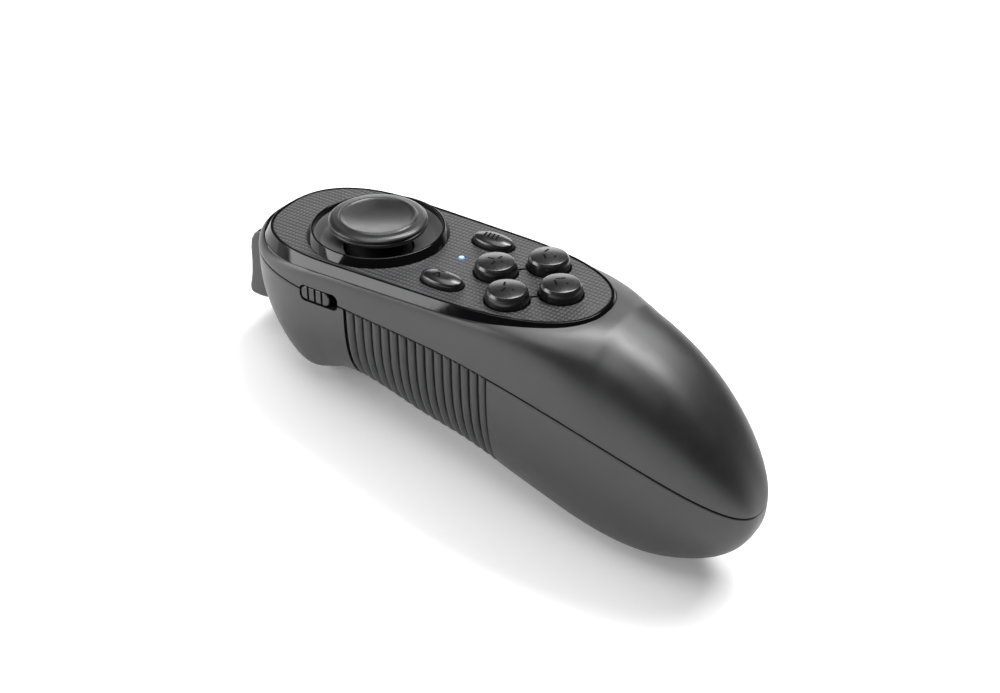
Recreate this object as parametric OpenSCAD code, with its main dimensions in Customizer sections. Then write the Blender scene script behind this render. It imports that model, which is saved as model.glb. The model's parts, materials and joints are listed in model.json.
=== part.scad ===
// Hand-held motion controller with a thumb stick, six keys, a front trigger and a tail battery bay.
// The model is drawn in the deck frame (faceplate plane at z = 0, +Y towards the trigger,
// origin at the stick's centre), then tipped nose-down onto the surface that it rests on.

/* [Body] */
// Greatest width of the body at the seam
body_w = 41.2; // [40:0.1:42]
// Wall thickness of the moulded shells
wall = 2.2; // [1.8:0.1:2.4]
// Visible gap along the seam between the shells
seam_gap = 0.3; // [0.3:0.05:0.5]
// Depth of the grooves between the grip's ribs
rib_depth = 0.9; // [0.5:0.1:1.0]
// Number of ribs on the grip
rib_count = 16; // [12:1:18]

/* [Faceplate] */
// Greatest half-width of the textured faceplate
plate_hw = 18.35; // [18:0.05:18.5]
// Faceplate thickness
plate_t = 1.2; // [1:0.1:1.2]
// Width of the glossy bezel's chamfer at the sides
bezel_w = 1.6; // [1.4:0.1:1.8]

/* [Thumb stick] */
// Outer radius of the thumb stick's cap
cap_r = 11.85; // [11.5:0.05:12]
// Height of the cap's rim above the faceplate
cap_z = 4.95; // [4.8:0.05:5.2]
// Outer radius of the glossy collar
collar_r = 17.1; // [16.9:0.1:17.4]
// Height of the collar above the faceplate
collar_h = 2.05; // [1.8:0.05:2.2]

/* [Keys] */
// Radius of the four round keys
key_r = 5.0; // [4.8:0.05:5.05]
// Height of the round keys above the faceplate
key_h = 3.3; // [2.8:0.1:3.6]
// Half-length of the oval keys
oval_a = 5.4; // [5.2:0.1:5.7]
// Half-width of the oval keys
oval_b = 3.0; // [2.8:0.1:3.2]
// Height of the oval keys above the faceplate
oval_h = 2.2; // [1.8:0.1:2.6]

/* [Trigger] */
// Half-width of the trigger paddle
trigger_hw = 9.0; // [8.6:0.1:9.0]
// Radius of the trigger's pin
pin_r = 1.0; // [0.9:0.05:1.0]

/* [Cells] */
// Radius of one cell
cell_r = 5.25; // [5:0.05:5.25]
// Length of one cell
cell_l = 44.5; // [43.5:0.1:44.5]

/* [Hidden] */
tilt = -12.7;
rest_y = 40.374;
rest_z = 39.373;
nose_y = 30.5;
tail_y = -104.7;
pivot_z = -9;
clear = 0.3;
key_front = [0, -33.5];
key_rear = [0, -51];
key_side = [8.9, -42.3];
oval_at = [10.6, -25.8];
led_at = [1.2, -23.1];
main_z = -13.2;
keyb_z = -7.2;
trig_pivot = [24.5, -7.5];
cell_mid = [0, -67, -29.5];
cell_tip = 18;
grip_front = -4.5;
grip_rear = -43.35;
cover_front = -43.65;
arc_n = 20;
grip_n = 14;

// Depth of the belly under the seam, as [y, depth] along the body
belly = [[-104.7, 28], [-92, 31], [-80, 33.4], [-65, 33.7], [-50, 32.3], [-35, 29.8], [-22, 28.2],
    [-12, 25.9], [-4, 24.7], [2, 25.7], [7, 28.2], [12, 30.2], [16, 28.4], [22, 22.3], [30.5, 13]];

shell_col = [0.16, 0.16, 0.17];
gloss_col = [0.03, 0.03, 0.035];
plate_col = [0.13, 0.13, 0.14];
key_col = [0.12, 0.12, 0.13];
metal_col = [0.72, 0.73, 0.75];
board_col = [0.06, 0.30, 0.16];

function clamp01(t) = min(max(t, 0), 1);
function smooth(t) = let (u = clamp01(t)) u * u * (3 - 2 * u);
function seg(p, x, i = 0) = (i >= len(p) - 2 || x < p[i + 1][0]) ? i : seg(p, x, i + 1);
function slope(p, i) = let (a = max(i - 1, 0), b = min(i + 1, len(p) - 1))
    (p[b][1] - p[a][1]) / (p[b][0] - p[a][0]);
function curve(p, x) = let (i = seg(p, x), h = p[i + 1][0] - p[i][0], t = clamp01((x - p[i][0]) / h))
    (2 * t * t * t - 3 * t * t + 1) * p[i][1] + (t * t * t - 2 * t * t + t) * h * slope(p, i)
    + (3 * t * t - 2 * t * t * t) * p[i + 1][1] + (t * t * t - t * t) * h * slope(p, i + 1);

// Height of the seam, half-width at the seam, depth below it and rise above it; o is an inward offset
function seam_z(y) = -8.9 + 0.125 * y - 0.0027 * pow(max(0, -26 - y), 2);
function half_w(y, o = 0) = max(0.2, (body_w / 2 - 1.15 + 1.15 * smooth((y + 35) / 40) - o)
    * pow(1 - pow(clamp01((-30 - y) / (-30 - tail_y - o)), 2.5), 0.4)
    * pow(1 - pow(clamp01((y - 5) / (nose_y - 5 - o)), 2.4), 1 / 2.4));
function depth(y, o = 0) = max(0.2, (curve(belly, y) - o)
    * pow(1 - pow(clamp01((-60 - y) / (-60 - tail_y - o)), 2.1), 1 / 2.1)
    * sqrt(clamp01((nose_y - o - y) / 2.5)));
function top_z(y) = -1 + 0.3 * smooth((-30 - y) / 25) - 0.8 * smooth((-60 - y) / 12);
function rise(y, o = 0) = max(0.2, (top_z(y) - seam_z(y) - o)
    * pow(1 - pow(clamp01((-67.4 - y) / (-67.4 - tail_y - o)), 1.11), 1 / 1.46)
    * sqrt(clamp01((nose_y - o - y) / 1.9)));
function n_up(y) = y > -2 ? 8 - 5.6 * smooth((y + 2) / 24) : 2.8 + 5.2 * smooth((y + 70) / 28);

// One open arc of a section, left to right, above (s = 1) or below (s = -1) the seam
function arc(y, w, h, n, s, z0, k) = [for (i = [0:k]) let (a = 180 * i / k)
    [-w * sign(cos(a)) * pow(abs(cos(a)), 2 / n), y, z0 + s * h * pow(abs(sin(a)), 2 / n)]];
function rev(p) = [for (i = [len(p) - 1:-1:0]) p[i]];
function up_ring(y) = let (z0 = seam_z(y) + seam_gap / 2, n = n_up(y))
    concat(arc(y, half_w(y), rise(y), n, 1, z0, arc_n),
        rev(arc(y, half_w(y, wall), rise(y, wall), n, 1, z0, arc_n)));
function low_ring(y, o, i, k) = let (z0 = seam_z(y) - seam_gap / 2)
    concat(arc(y, half_w(y, o), depth(y, o), 2.8, -1, z0, k),
        rev(arc(y, half_w(y, i), depth(y, i), 2.8, -1, z0, k)));

// Solid through C-shaped rings with k steps along each arc
module c_loft(rings, k, s) {
    m = 2 * (k + 1);
    e = len(rings) - 1;
    sides = [for (r = [0:e - 1]) for (j = [0:m - 1]) for (f = [0:1]) let (a = r * m + j,
        b = r * m + (j + 1) % m) f == 0 ? [a, b, b + m] : [a, b + m, a + m]];
    ends = [for (r = [0, e]) for (j = [0:k - 1]) for (f = [0:1]) let (a = r * m + j,
        d = r * m + m - 1 - j, t = f == 0 ? [a, d, d - 1] : [a, d - 1, a + 1]) r == 0 ? t : rev(t)];
    faces = concat(sides, ends);
    polyhedron(points = [for (r = rings) each r], faces = s > 0 ? [for (f = faces) rev(f)] : faces);
}

// Solid through closed rings; wrap joins the last ring to the first
module ring_loft(rings, wrap = false) {
    m = len(rings[0]);
    c = len(rings);
    sides = [for (r = [0:wrap ? c - 1 : c - 2]) for (j = [0:m - 1]) for (f = [0:1])
        let (a = r * m + j, b = r * m + (j + 1) % m, u = ((r + 1) % c) * m + j,
            v = ((r + 1) % c) * m + (j + 1) % m) f == 0 ? [a, b, v] : [a, v, u]];
    ends = wrap ? [] : [[for (j = [m - 1:-1:0]) j], [for (j = [0:m - 1]) (c - 1) * m + j]];
    polyhedron(points = [for (r = rings) each r], faces = concat(sides, ends));
}

// Faceplate outline: right side from the front tip to the rear tip, then back up the left side
function plate_w0(y) = plate_hw - 0.028 * max(0, 2.5 - y);
function right_side() = concat(
    [for (a = [0:10:80]) [plate_w0(2) * pow(sin(a), 0.816), 2 + 25 * pow(cos(a), 0.816)]],
    [for (y = [2:-10:-18]) [plate_w0(y), y]],
    [for (a = [0:9:90]) let (y = -28 - 34.4 * pow(sin(a), 0.816)) [plate_w0(y) * pow(cos(a), 0.816), y]]);
function outline() = let (r = right_side(), n = len(r))
    concat(r, [for (i = [n - 2:-1:1]) [-r[i][0], r[i][1]]]);
function grow(p, o) = let (n = len(p)) [for (i = [0:n - 1])
    let (d = p[(i + 1) % n] - p[(i + n - 1) % n], l = norm(d)) p[i] + o * [-d[1], d[0]] / l];
function chamfer_w(y) = bezel_w + 0.35 * smooth((y - 2) / 14) - 0.85 * smooth((-30 - y) / 32);
function grow_var(p, f, o) = let (n = len(p)) [for (i = [0:n - 1])
    let (d = p[(i + 1) % n] - p[(i + n - 1) % n], l = norm(d), w = f * chamfer_w(p[i][1]) + o)
    p[i] + w * [-d[1], d[0]] / l];
function oval(a, b, k = 36) = [for (i = [0:k - 1]) let (t = 360 * i / k)
    [b * sign(cos(t)) * pow(abs(cos(t)), 0.9), a * sign(sin(t)) * pow(abs(sin(t)), 0.9)]];

// Coil along +Z: mean radius r, wire radius w, height h
module coil(r, w, h, turns, k = 14, sides = 8) {
    n = turns * k;
    ring_loft([for (i = [0:n]) let (a = 360 * i / k, z = w + (h - 2 * w) * i / n)
        [for (j = [0:sides - 1]) let (b = 360 * j / sides)
            [(r + w * cos(b)) * cos(a), (r + w * cos(b)) * sin(a), z + w * sin(b)]]]);
}

// Rounded slot along Y, extruded along X
module side_slot(x0, x1, y0, y1, z0, z1, r) {
    translate([x0, 0, 0]) rotate([90, 0, 90]) linear_extrude(x1 - x0) union() {
        translate([y0 + r, z0]) square([y1 - y0 - 2 * r, z1 - z0]);
        translate([y0, z0 + r]) square([y1 - y0, z1 - z0 - 2 * r]);
        for (y = [y0 + r, y1 - r]) for (z = [z0 + r, z1 - r]) translate([y, z]) circle(r, $fn = 32);
    }
}

module trigger_window() {
    translate([-trigger_hw - 0.35, 19, -24.6]) cube([2 * trigger_hw + 0.7, 20, 20.65]);
}

module placed() {
    translate([0, rest_y, rest_z]) rotate([tilt, 0, 0]) children();
}

module upper_shell() {
    ys = concat([for (a = [0:7.5:90]) tail_y + 0.1 + 38 * (1 - cos(a))],
        [for (y = [-62:5:8]) y], [13, 17, 20, 23, 25.5, 27.2, 28.5, 29.4, 30, 30.35]);
    color(shell_col) placed() difference() {
        c_loft([for (y = ys) up_ring(y)], arc_n, 1);
        translate([0, 0, -2.45]) linear_extrude(20) polygon(grow_var(outline(), 1, 0.06));
        translate([0, 0, -40]) linear_extrude(60) polygon(grow(outline(), -1.2));
        side_slot(-30, -14, -2.9, 8.2, -10.8, -6.5, 1.4);
        trigger_window();
    }
}

module lower_shell() {
    front = [-4.4, -2, 1, 4, 7, 9.5, 11.5, 13.5, 16, 19, 22, 25, 27, 28.4, 29.4, 30, 30.35];
    color(shell_col) placed() difference() {
        union() {
            c_loft(concat([for (y = [grip_rear, -38, -32, -26, -20, -14, -9, grip_front])
                low_ring(y, 1.95, 3.5, arc_n)], [for (y = front) low_ring(y, 0, wall, arc_n)]), arc_n, -1);
            for (x = [-12.3, 12.3]) translate([x, -13.5, -29]) cylinder(h = 14.5, r = 2.3, $fn = 32);
        }
        for (x = [-12.3, 12.3]) translate([x, -13.5, -26]) cylinder(h = 20, r = 0.9, $fn = 24);
        side_slot(-30, -14, -2.9, 8.2, -10.8, -6.5, 1.4);
        trigger_window();
    }
}

module battery_cover() {
    ys = concat([for (a = [0:7.5:90]) tail_y + 0.1 + 34 * (1 - cos(a))], [-65, -58, -51, cover_front]);
    color(shell_col) placed() union() {
        c_loft([for (y = ys) low_ring(y, 0, wall, arc_n)], arc_n, -1);
        translate([-4.6, -47.5, -46.8]) cube([9.2, 3.8, 6.9]);
        translate([-4.6, -43.8, -41]) cube([9.2, 2.2, 1.1]);
    }
}

module grip_saddle() {
    p = (grip_front - grip_rear - 0.1) / rib_count;
    ys = [for (r = [0:rib_count - 1]) for (t = [0.02, 0.14, 0.5, 0.86, 0.98]) [grip_rear + p * (r + t),
        rib_depth * (1 - sqrt(sin(180 * t)))]];
    color([0.14, 0.14, 0.15]) placed()
        c_loft([for (y = ys) low_ring(y[0], y[1], 1.55, grip_n)], grip_n, -1);
}

module faceplate() {
    color(plate_col) placed() difference() {
        union() {
            translate([0, 0, -plate_t]) linear_extrude(plate_t) polygon(grow(outline(), -0.45));
            for (y = [-18.9, -42.3]) translate([0, y, keyb_z + 0.05])
                cylinder(h = -keyb_z - 0.65, r = 1.8, $fn = 32);
        }
        translate([0, 0, -5]) cylinder(h = 10, r = 15.9, $fn = 128);
        for (k = [key_front, key_rear, key_side, [-key_side[0], key_side[1]]])
            translate([k[0], k[1], -5]) cylinder(h = 10, r = key_r + clear, $fn = 64);
        for (s = [-1, 1]) translate([s * oval_at[0], oval_at[1], -5]) linear_extrude(10)
            polygon(grow(oval(oval_a, oval_b), -clear));
        translate([led_at[0], led_at[1], -5]) cylinder(h = 10, r = 0.95, $fn = 32);
        for (y = [-18.9, -42.3]) translate([0, y, -8]) cylinder(h = 6.2, r = 0.8, $fn = 24);
    }
}

module gloss_bezel() {
    prof = [[0, -0.4, 0.04], [0, 0.2, 0.04], [1, 0, 0], [1, 0, -2.4], [0, -1.2, -2.4], [0, -1.2, -1.28],
        [0, -0.4, -1.28]];
    o = outline();
    color(gloss_col) placed() ring_loft([for (i = [0:len(o) - 1]) [for (q = prof)
        let (g = grow_var(o, q[0], q[1]))
        let (z = q[0] == 1 && q[2] == 0 ? -1.646 * (chamfer_w(o[i][1]) - 0.3) : q[2])
        [g[i][0], g[i][1], z]]], wrap = true);
}

module stick_collar() {
    color(gloss_col) placed() rotate_extrude($fn = 128)
        polygon([[15.4, -1.9], [15.86, -1.9], [15.86, 0.02], [collar_r, 0.02], [collar_r, 0.15],
            [16.1, collar_h - 0.15], [15.9, collar_h], [15.6, collar_h], [15.4, collar_h - 0.2]]);
}

module stick_bowl() {
    color([0.2, 0.2, 0.21]) placed() rotate_extrude($fn = 96)
        polygon([[8.4, -3.6], [10.5, -2.9], [12.5, -2.1], [13.9, -1.3], [14.9, 0.1], [15.3, 0.7], [15.3, -2],
            [15.8, -2], [15.8, -3.2], [13.4, -3.2], [9, -4.7], [8.75, -4.6]]);
}

module joystick_cap() {
    color(key_col) placed() difference() {
        rotate_extrude($fn = 128) polygon([[0, 4], [3, 4.09], [6, 4.36], [8.2, 4.72], [8.8, cap_z],
            [9.2, cap_z], [9.45, cap_z - 0.25], [10.7, cap_z - 0.35], [11.4, cap_z - 0.6], [cap_r, 4],
            [cap_r, 3.65], [11.4, 3.4], [11.4, 3.25], [cap_r - 0.1, 3], [cap_r - 0.05, 2.6], [11.4, 2.05],
            [10.6, 2], [9, 2.7], [4.2, 2.7], [4.2, 1.2], [0, 1.2]]);
        translate([0, 0, -1]) cylinder(h = 4, r = 1.22, $fn = 32);
    }
}

module stick_dome() {
    color([0.08, 0.08, 0.085]) placed() translate([0, 0, pivot_z]) difference() {
        rotate_extrude($fn = 96) polygon(concat([for (a = [57:-5.5:2]) 9.6 * [sin(a), cos(a)]],
            [for (a = [2:5.5:57]) 8.8 * [sin(a), cos(a)]]));
        cylinder(h = 20, r = 1.22, $fn = 32);
    }
}

module stick_shaft() {
    color(metal_col) placed() union() {
        translate([0, 0, pivot_z - 1.2]) cylinder(h = 13, r = 1.2, $fn = 32);
        translate([0, 0, pivot_z]) rotate([90, 0, 0]) cylinder(h = 3.9, r = 0.5, center = true, $fn = 24);
    }
}

module gimbal_carrier() {
    color([0.85, 0.85, 0.82]) placed() translate([0, 0, pivot_z]) difference() {
        union() {
            translate([-3.5, -2, -1]) cube([7, 4, 2]);
            rotate([0, 90, 0]) cylinder(h = 9.8, r = 0.9, center = true, $fn = 32);
        }
        translate([-2.6, -1.4, -2]) cube([5.2, 2.8, 4]);
        rotate([90, 0, 0]) cylinder(h = 6, r = 0.55, center = true, $fn = 24);
    }
}

module gimbal_arc() {
    color([0.2, 0.2, 0.22]) placed() translate([0, 0, pivot_z]) difference() {
        union() {
            intersection() {
                rotate([0, 90, 0]) cylinder(h = 4.4, r = 3.6, center = true, $fn = 64);
                translate([-3, -4, -0.9]) cube([6, 8, 6]);
            }
            for (s = [-1, 1]) translate([0, s * 4, 0]) rotate([90, 0, 0])
                cylinder(h = 1.8, r = 0.9, center = true, $fn = 32);
            for (s = [-1, 1]) translate([-2.2, s * 3.3 - 0.45, -2.9]) cube([4.4, 0.9, 2.9]);
        }
        rotate([0, 90, 0]) cylinder(h = 10, r = 2.7, center = true, $fn = 64);
        translate([-1.4, -2.6, 0]) cube([2.8, 5.2, 6]);
    }
}

module stick_housing() {
    color(metal_col) placed() difference() {
        intersection() {
            translate([-5.6, -5.6, main_z + 0.02]) cube([11.2, 11.2, 8.9]);
            translate([0, 0, -20]) cylinder(h = 20, r = 7, $fn = 96);
        }
        intersection() {
            translate([-4.95, -4.95, main_z - 1]) cube([9.9, 9.9, 9.35]);
            translate([0, 0, -20]) cylinder(h = 20, r = 6.4, $fn = 96);
        }
        translate([0, 0, -8]) cylinder(h = 10, r = 3.3, $fn = 48);
        translate([0, 0, pivot_z]) rotate([0, 90, 0]) cylinder(h = 20, r = 0.97, center = true, $fn = 32);
        translate([0, 0, pivot_z]) rotate([90, 0, 0]) cylinder(h = 20, r = 0.97, center = true, $fn = 32);
    }
}

module pot() {
    difference() {
        translate([5.65, -2.5, pivot_z - 3.9]) cube([1.5, 5, 6.4]);
        translate([5, 0, pivot_z]) rotate([0, 90, 0]) cylinder(h = 4, r = 1, $fn = 24);
    }
}

module stick_pot_x() {
    color([0.1, 0.2, 0.45]) placed() pot();
}

module stick_pot_y() {
    color([0.1, 0.2, 0.45]) placed() rotate([0, 0, 90]) pot();
}

module stick_plunger() {
    color([0.9, 0.9, 0.88]) placed() translate([0, 0, pivot_z - 2.4]) cylinder(h = 0.65, r = 2.6, $fn = 48);
}

module stick_spring() {
    color(metal_col) placed() translate([0, 0, main_z + 0.02]) coil(1.9, 0.22, 1.75, 2);
}

module round_key(at) {
    color(key_col) placed() translate([at[0], at[1], 0]) rotate_extrude($fn = 64)
        polygon([[0, -3.7], [2, -3.7], [2, -2.3], [key_r + 0.6, -2.3], [key_r + 0.6, -1.5], [key_r, -1.5],
            [key_r, 1.2], [key_r - 0.08, 1.7], [key_r - 0.3, key_h - 0.95], [key_r - 0.7, key_h - 0.42],
            [key_r - 1.8, key_h - 0.23], [key_r - 3.4, key_h - 0.06], [0, key_h]]);
}

module key_button_front() {
    round_key(key_front);
}

module key_button_rear() {
    round_key(key_rear);
}

module key_button_left() {
    round_key([-key_side[0], key_side[1]]);
}

module key_button_right() {
    round_key(key_side);
}

module oval_key(s) {
    steps = [[0, -2.3], [0, 0.9], [0.25, 1.4], [0.8, oval_h - 0.35], [1.7, oval_h - 0.08], [2.5, oval_h]];
    color(key_col) placed() translate([s * oval_at[0], oval_at[1], 0]) union() {
        ring_loft([for (q = steps) [for (p = rev(oval(oval_a - q[0], oval_b - q[0]))) [p[0], p[1], q[1]]]]);
        translate([0, 0, -2.3]) linear_extrude(0.8) polygon(oval(oval_a + 0.6, oval_b + 0.6));
        translate([0, 0, -3.7]) cylinder(h = 1.6, r = 1.6, $fn = 32);
    }
}

module oval_button_left() {
    oval_key(-1);
}

module oval_button_right() {
    oval_key(1);
}

module light_pipe() {
    color([0.8, 0.9, 1, 0.6]) placed() translate([led_at[0], led_at[1], keyb_z + 0.65])
        cylinder(h = 6.65, r = 0.9, $fn = 32);
}

module status_led() {
    color([0.95, 0.95, 0.9]) placed() translate([led_at[0] - 0.8, led_at[1] - 0.5, keyb_z + 0.02])
        cube([1.6, 1, 0.55]);
}

module mat_dome(at, r) {
    translate([at[0], at[1], keyb_z + 0.6]) cylinder(h = 1.35, r1 = r, r2 = r - 1, $fn = 48);
}

module key_mat() {
    color([0.55, 0.56, 0.58]) placed() difference() {
        union() {
            translate([0, 0, keyb_z + 0.02]) linear_extrude(0.7) polygon([[-13.5, -21.2], [13.5, -21.2],
                [13.5, -45], [9, -54], [3, -57], [-3, -57], [-9, -54], [-13.5, -45]]);
            for (k = [key_front, key_rear, key_side, [-key_side[0], key_side[1]]]) mat_dome(k, 3.4);
            for (s = [-1, 1]) mat_dome([s * oval_at[0], oval_at[1]], 2.5);
        }
        translate([led_at[0] - 1.4, led_at[1] - 1.4, -9]) cube([2.8, 2.8, 9]);
        translate([0, -42.3, -9]) cylinder(h = 9, r = 2.1, $fn = 32);
        for (k = [key_front, key_rear, key_side, [-key_side[0], key_side[1]]])
            translate([k[0], k[1], -9]) cylinder(h = 3, r = 1.6, $fn = 24);
    }
}

module key_board() {
    pts = [for (p = grow(outline(), -3.6)) if (p[1] < -17) p];
    color(board_col) placed() difference() {
        translate([0, 0, keyb_z - 1]) linear_extrude(1) polygon(pts);
        for (y = [-18.9, -42.3]) translate([0, y, -9]) cylinder(h = 4, r = 0.9, $fn = 24);
    }
}

module main_board() {
    color(board_col) placed() difference() {
        translate([0, 0, main_z - 1.2]) linear_extrude(1.2) polygon([[-15.2, -17.5], [15.2, -17.5],
            [15.2, 14], [12.5, 20.8], [-12.5, 20.8], [-15.2, 14]]);
        for (x = [-12.3, 12.3]) translate([x, -13.5, -20]) cylinder(h = 10, r = 1, $fn = 24);
    }
}

module radio_module() {
    color(metal_col) placed() translate([-6, -16.8, main_z + 0.02]) cube([12, 8.5, 1.8]);
}

module mcu_chip() {
    color([0.05, 0.05, 0.055]) placed() translate([-3.5, -33.5, keyb_z - 2]) cube([7, 7, 0.98]);
}

module board_link() {
    color([0.75, 0.45, 0.15]) placed() rotate([90, 0, 90]) translate([0, 0, 2.4]) linear_extrude(8)
        polygon([[-17.8, main_z + 0.02], [-17.1, main_z + 0.02],
                 [-17.1, keyb_z - 1.25], [-20.9, keyb_z - 1.25],
            [-20.9, keyb_z - 1.02], [-23, keyb_z - 1.02], [-23, keyb_z - 1.5], [-17.8, keyb_z - 1.5]]);
}

module mode_knob() {
    color(key_col) placed() difference() {
        union() {
            side_slot(-20.5, -16.4, -0.4, 7.8, -10.4, -6.9, 1.2);
            translate([-16.6, -2.6, -11.8]) cube([0.65, 12.2, 6.3]);
        }
        for (y = [1.7, 3.7, 5.7]) translate([-21, y - 0.35, -12]) cube([1.1, 0.7, 6]);
    }
}

module mode_switch() {
    color([0.08, 0.08, 0.08]) placed() union() {
        translate([-15, -2, main_z + 0.02]) cube([3, 10, 5]);
        translate([-15.75, 2, -10.6]) cube([0.9, 2.4, 1.6]);
    }
}

module trigger() {
    c = trig_pivot;
    color(key_col) placed() rotate([90, 0, 90]) difference() {
        union() {
            translate([0, 0, -trigger_hw]) linear_extrude(2 * trigger_hw) polygon([[29.2, -4.4],
                [30.4, -4.6], [31.9, -5.9], [32.9, -7.6], [33.25, -10], [33.3, -14], [33.6, -17.6],
                [34.4, -21.4], [34.3, -22.7], [33.4, -23.4], [31.1, -23.6], [28.9, -23.4], [28.7, -22.4],
                [31.4, -21.6], [31.1, -14], [30.8, -9], [29, -6.6]]);
            for (x = [-trigger_hw, trigger_hw - 1.7]) translate([0, 0, x]) linear_extrude(1.7) polygon([
                [29.2, -4.4], [30.4, -4.6], [31.9, -5.9], [32.9, -7.6], [33.25, -10], [33.3, -14],
                [33.6, -17.6], [34.4, -21.4], [34.3, -22.7], [33.4, -23.4], [31.1, -23.6], [27.6, -23.3],
                [26.6, -20], [26.4, -12], [27.2, -5.4]]);
            for (x = [-5.8, 4.2]) translate([0, 0, x]) linear_extrude(1.6)
                polygon([[31.3, -8.5], [31.5, -14],
                [c[0] - 0.6, c[1] - 2.4], [c[0] - 0.6, c[1] + 2.4], [29.6, -4.9]]);
            translate([0, 0, -5.8]) linear_extrude(11.6) translate(c) circle(2.6, $fn = 48);
            translate([0, 0, -2]) linear_extrude(4) polygon([[31.6, -15.6], [31.7, -18.4], [24.2, -17.6],
                [24.2, -16.4]]);
        }
        translate([c[0], c[1], -10]) cylinder(h = 20, r = pin_r + 0.06, $fn = 48);
    }
}

module trigger_pin() {
    color(metal_col) placed() translate([0, trig_pivot[0], trig_pivot[1]]) rotate([0, 90, 0])
        cylinder(h = 18.4, r = pin_r, center = true, $fn = 48);
}

module trigger_bracket() {
    c = trig_pivot;
    color([0.1, 0.1, 0.1]) placed() difference() {
        union() {
            for (s = [-1, 1]) translate([s * 6.6 - 0.5, 17.5, main_z + 0.02]) cube([1, 8.4, 8.4]);
            translate([-7.1, 17.5, main_z + 0.02]) cube([14.2, 1.6, 2.6]);
        }
        translate([0, c[0], c[1]]) rotate([0, 90, 0])
            cylinder(h = 40, r = pin_r + 0.02, center = true, $fn = 48);
        for (z = [-4.4, -13.4]) translate([0, 26.3, z]) rotate([45, 0, 0])
            cube([20, 2.4, 2.4], center = true);
    }
}

module trigger_spring() {
    color(metal_col) placed() translate([7.15, trig_pivot[0], trig_pivot[1]]) rotate([0, 90, 0])
        coil(1.4, 0.2, 1.9, 3);
}

module trigger_board() {
    color(board_col) placed() translate([-7, 17.6, -23.5]) cube([14, 1, 9]);
}

module trigger_switch() {
    color([0.15, 0.15, 0.15]) placed() union() {
        translate([-3, 18.62, -20.7]) cube([6, 2.6, 6]);
        translate([0, 21, -17]) rotate([-90, 0, 0]) cylinder(h = 1.2, r = 1.3, $fn = 32);
    }
}

module cell_frame() {
    placed() translate(cell_mid) rotate([cell_tip, 0, 0]) children();
}

module battery_tray() {
    color([0.13, 0.13, 0.13]) cell_frame() difference() {
        union() {
            translate([0, 0, 1.2]) linear_extrude(6) polygon([[-10.4, 26.4], [-10.4, -18], [-8.2, -26.4],
                [8.2, -26.4], [10.4, -18], [10.4, 26.4]]);
            translate([-9.4, -26.4, -5]) cube([18.8, 1.4, 7]);
            translate([-9.4, 25, -5]) cube([18.8, 1.4, 7]);
        }
        for (s = [-1, 1]) translate([s * 5.6, -25, 0]) rotate([-90, 0, 0])
            cylinder(h = 50, r = 5.45, $fn = 64);
        translate([-11, -25, -6]) cube([22, 50, 7.8]);
        translate([-2.5, -25, 0]) cube([5, 0.6, 4.4]);
    }
}

module cell(s) {
    color([0.15, 0.35, 0.6]) cell_frame() translate([s * 5.6, 0, 0]) rotate([s * 90, 0, 0]) union() {
        translate([0, 0, -cell_l / 2]) cylinder(h = cell_l - 1, r = cell_r, $fn = 64);
        translate([0, 0, cell_l / 2 - 1.1]) cylinder(h = 1.1, r = 1.9, $fn = 32);
    }
}

module cell_left() {
    cell(-1);
}

module cell_right() {
    cell(1);
}

module contact_front_left() {
    color(metal_col) cell_frame() translate([-9, 24.55, -4.2]) cube([7, 0.4, 8.2]);
}

module contact_front_right() {
    color(metal_col) cell_frame() translate([2, 24.55, -4.2]) cube([7, 0.4, 8.2]);
}

module contact_rear() {
    color(metal_col) cell_frame() translate([-9, -24.95, -4.2]) cube([18, 0.4, 8.2]);
}

module cell_spring_front() {
    color(metal_col) cell_frame() translate([5.6, 22.28, 0]) rotate([-90, 0, 0]) coil(2.6, 0.3, 2.25, 2, 16);
}

module cell_spring_rear() {
    color(metal_col) cell_frame() translate([-5.6, -22.28, 0]) rotate([90, 0, 0])
        coil(2.6, 0.3, 2.25, 2, 16);
}

module main_screw(s) {
    color(metal_col) placed() translate([s * 12.3, -13.5, 0]) union() {
        translate([0, 0, main_z + 0.02]) cylinder(h = 1.1, r = 1.9, $fn = 32);
        translate([0, 0, main_z - 7]) cylinder(h = 7.1, r = 0.85, $fn = 24);
    }
}

module main_screw_left() {
    main_screw(-1);
}

module main_screw_right() {
    main_screw(1);
}

module key_screw(y) {
    color(metal_col) placed() translate([0, y, 0]) union() {
        translate([0, 0, keyb_z - 2.1]) cylinder(h = 1.08, r = 1.7, $fn = 32);
        translate([0, 0, keyb_z - 1.1]) cylinder(h = 5.4, r = 0.75, $fn = 24);
    }
}

module key_screw_front() {
    key_screw(-18.9);
}

module key_screw_rear() {
    key_screw(-42.3);
}

upper_shell();
lower_shell();
battery_cover();
grip_saddle();
faceplate();
gloss_bezel();
stick_collar();
stick_bowl();
joystick_cap();
stick_dome();
stick_shaft();
gimbal_carrier();
gimbal_arc();
stick_housing();
stick_pot_x();
stick_pot_y();
stick_plunger();
stick_spring();
key_button_front();
key_button_rear();
key_button_left();
key_button_right();
oval_button_left();
oval_button_right();
light_pipe();
status_led();
key_mat();
key_board();
main_board();
radio_module();
mcu_chip();
board_link();
mode_knob();
mode_switch();
trigger();
trigger_pin();
trigger_bracket();
trigger_spring();
trigger_board();
trigger_switch();
battery_tray();
cell_left();
cell_right();
contact_front_left();
contact_front_right();
contact_rear();
cell_spring_front();
cell_spring_rear();
main_screw_left();
main_screw_right();
key_screw_front();
key_screw_rear();
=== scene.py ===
"""Looks of the motion controller: shells, deck, keys, stick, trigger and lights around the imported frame.

Lengths in the shape functions are millimetres in the deck frame: the faceplate is z = 0, +Y runs towards
the trigger, and the origin is the centre of the thumb stick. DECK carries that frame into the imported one.
"""
import json
import math

import bmesh
import bpy
import numpy as np
from mathutils import Matrix, Vector


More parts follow.
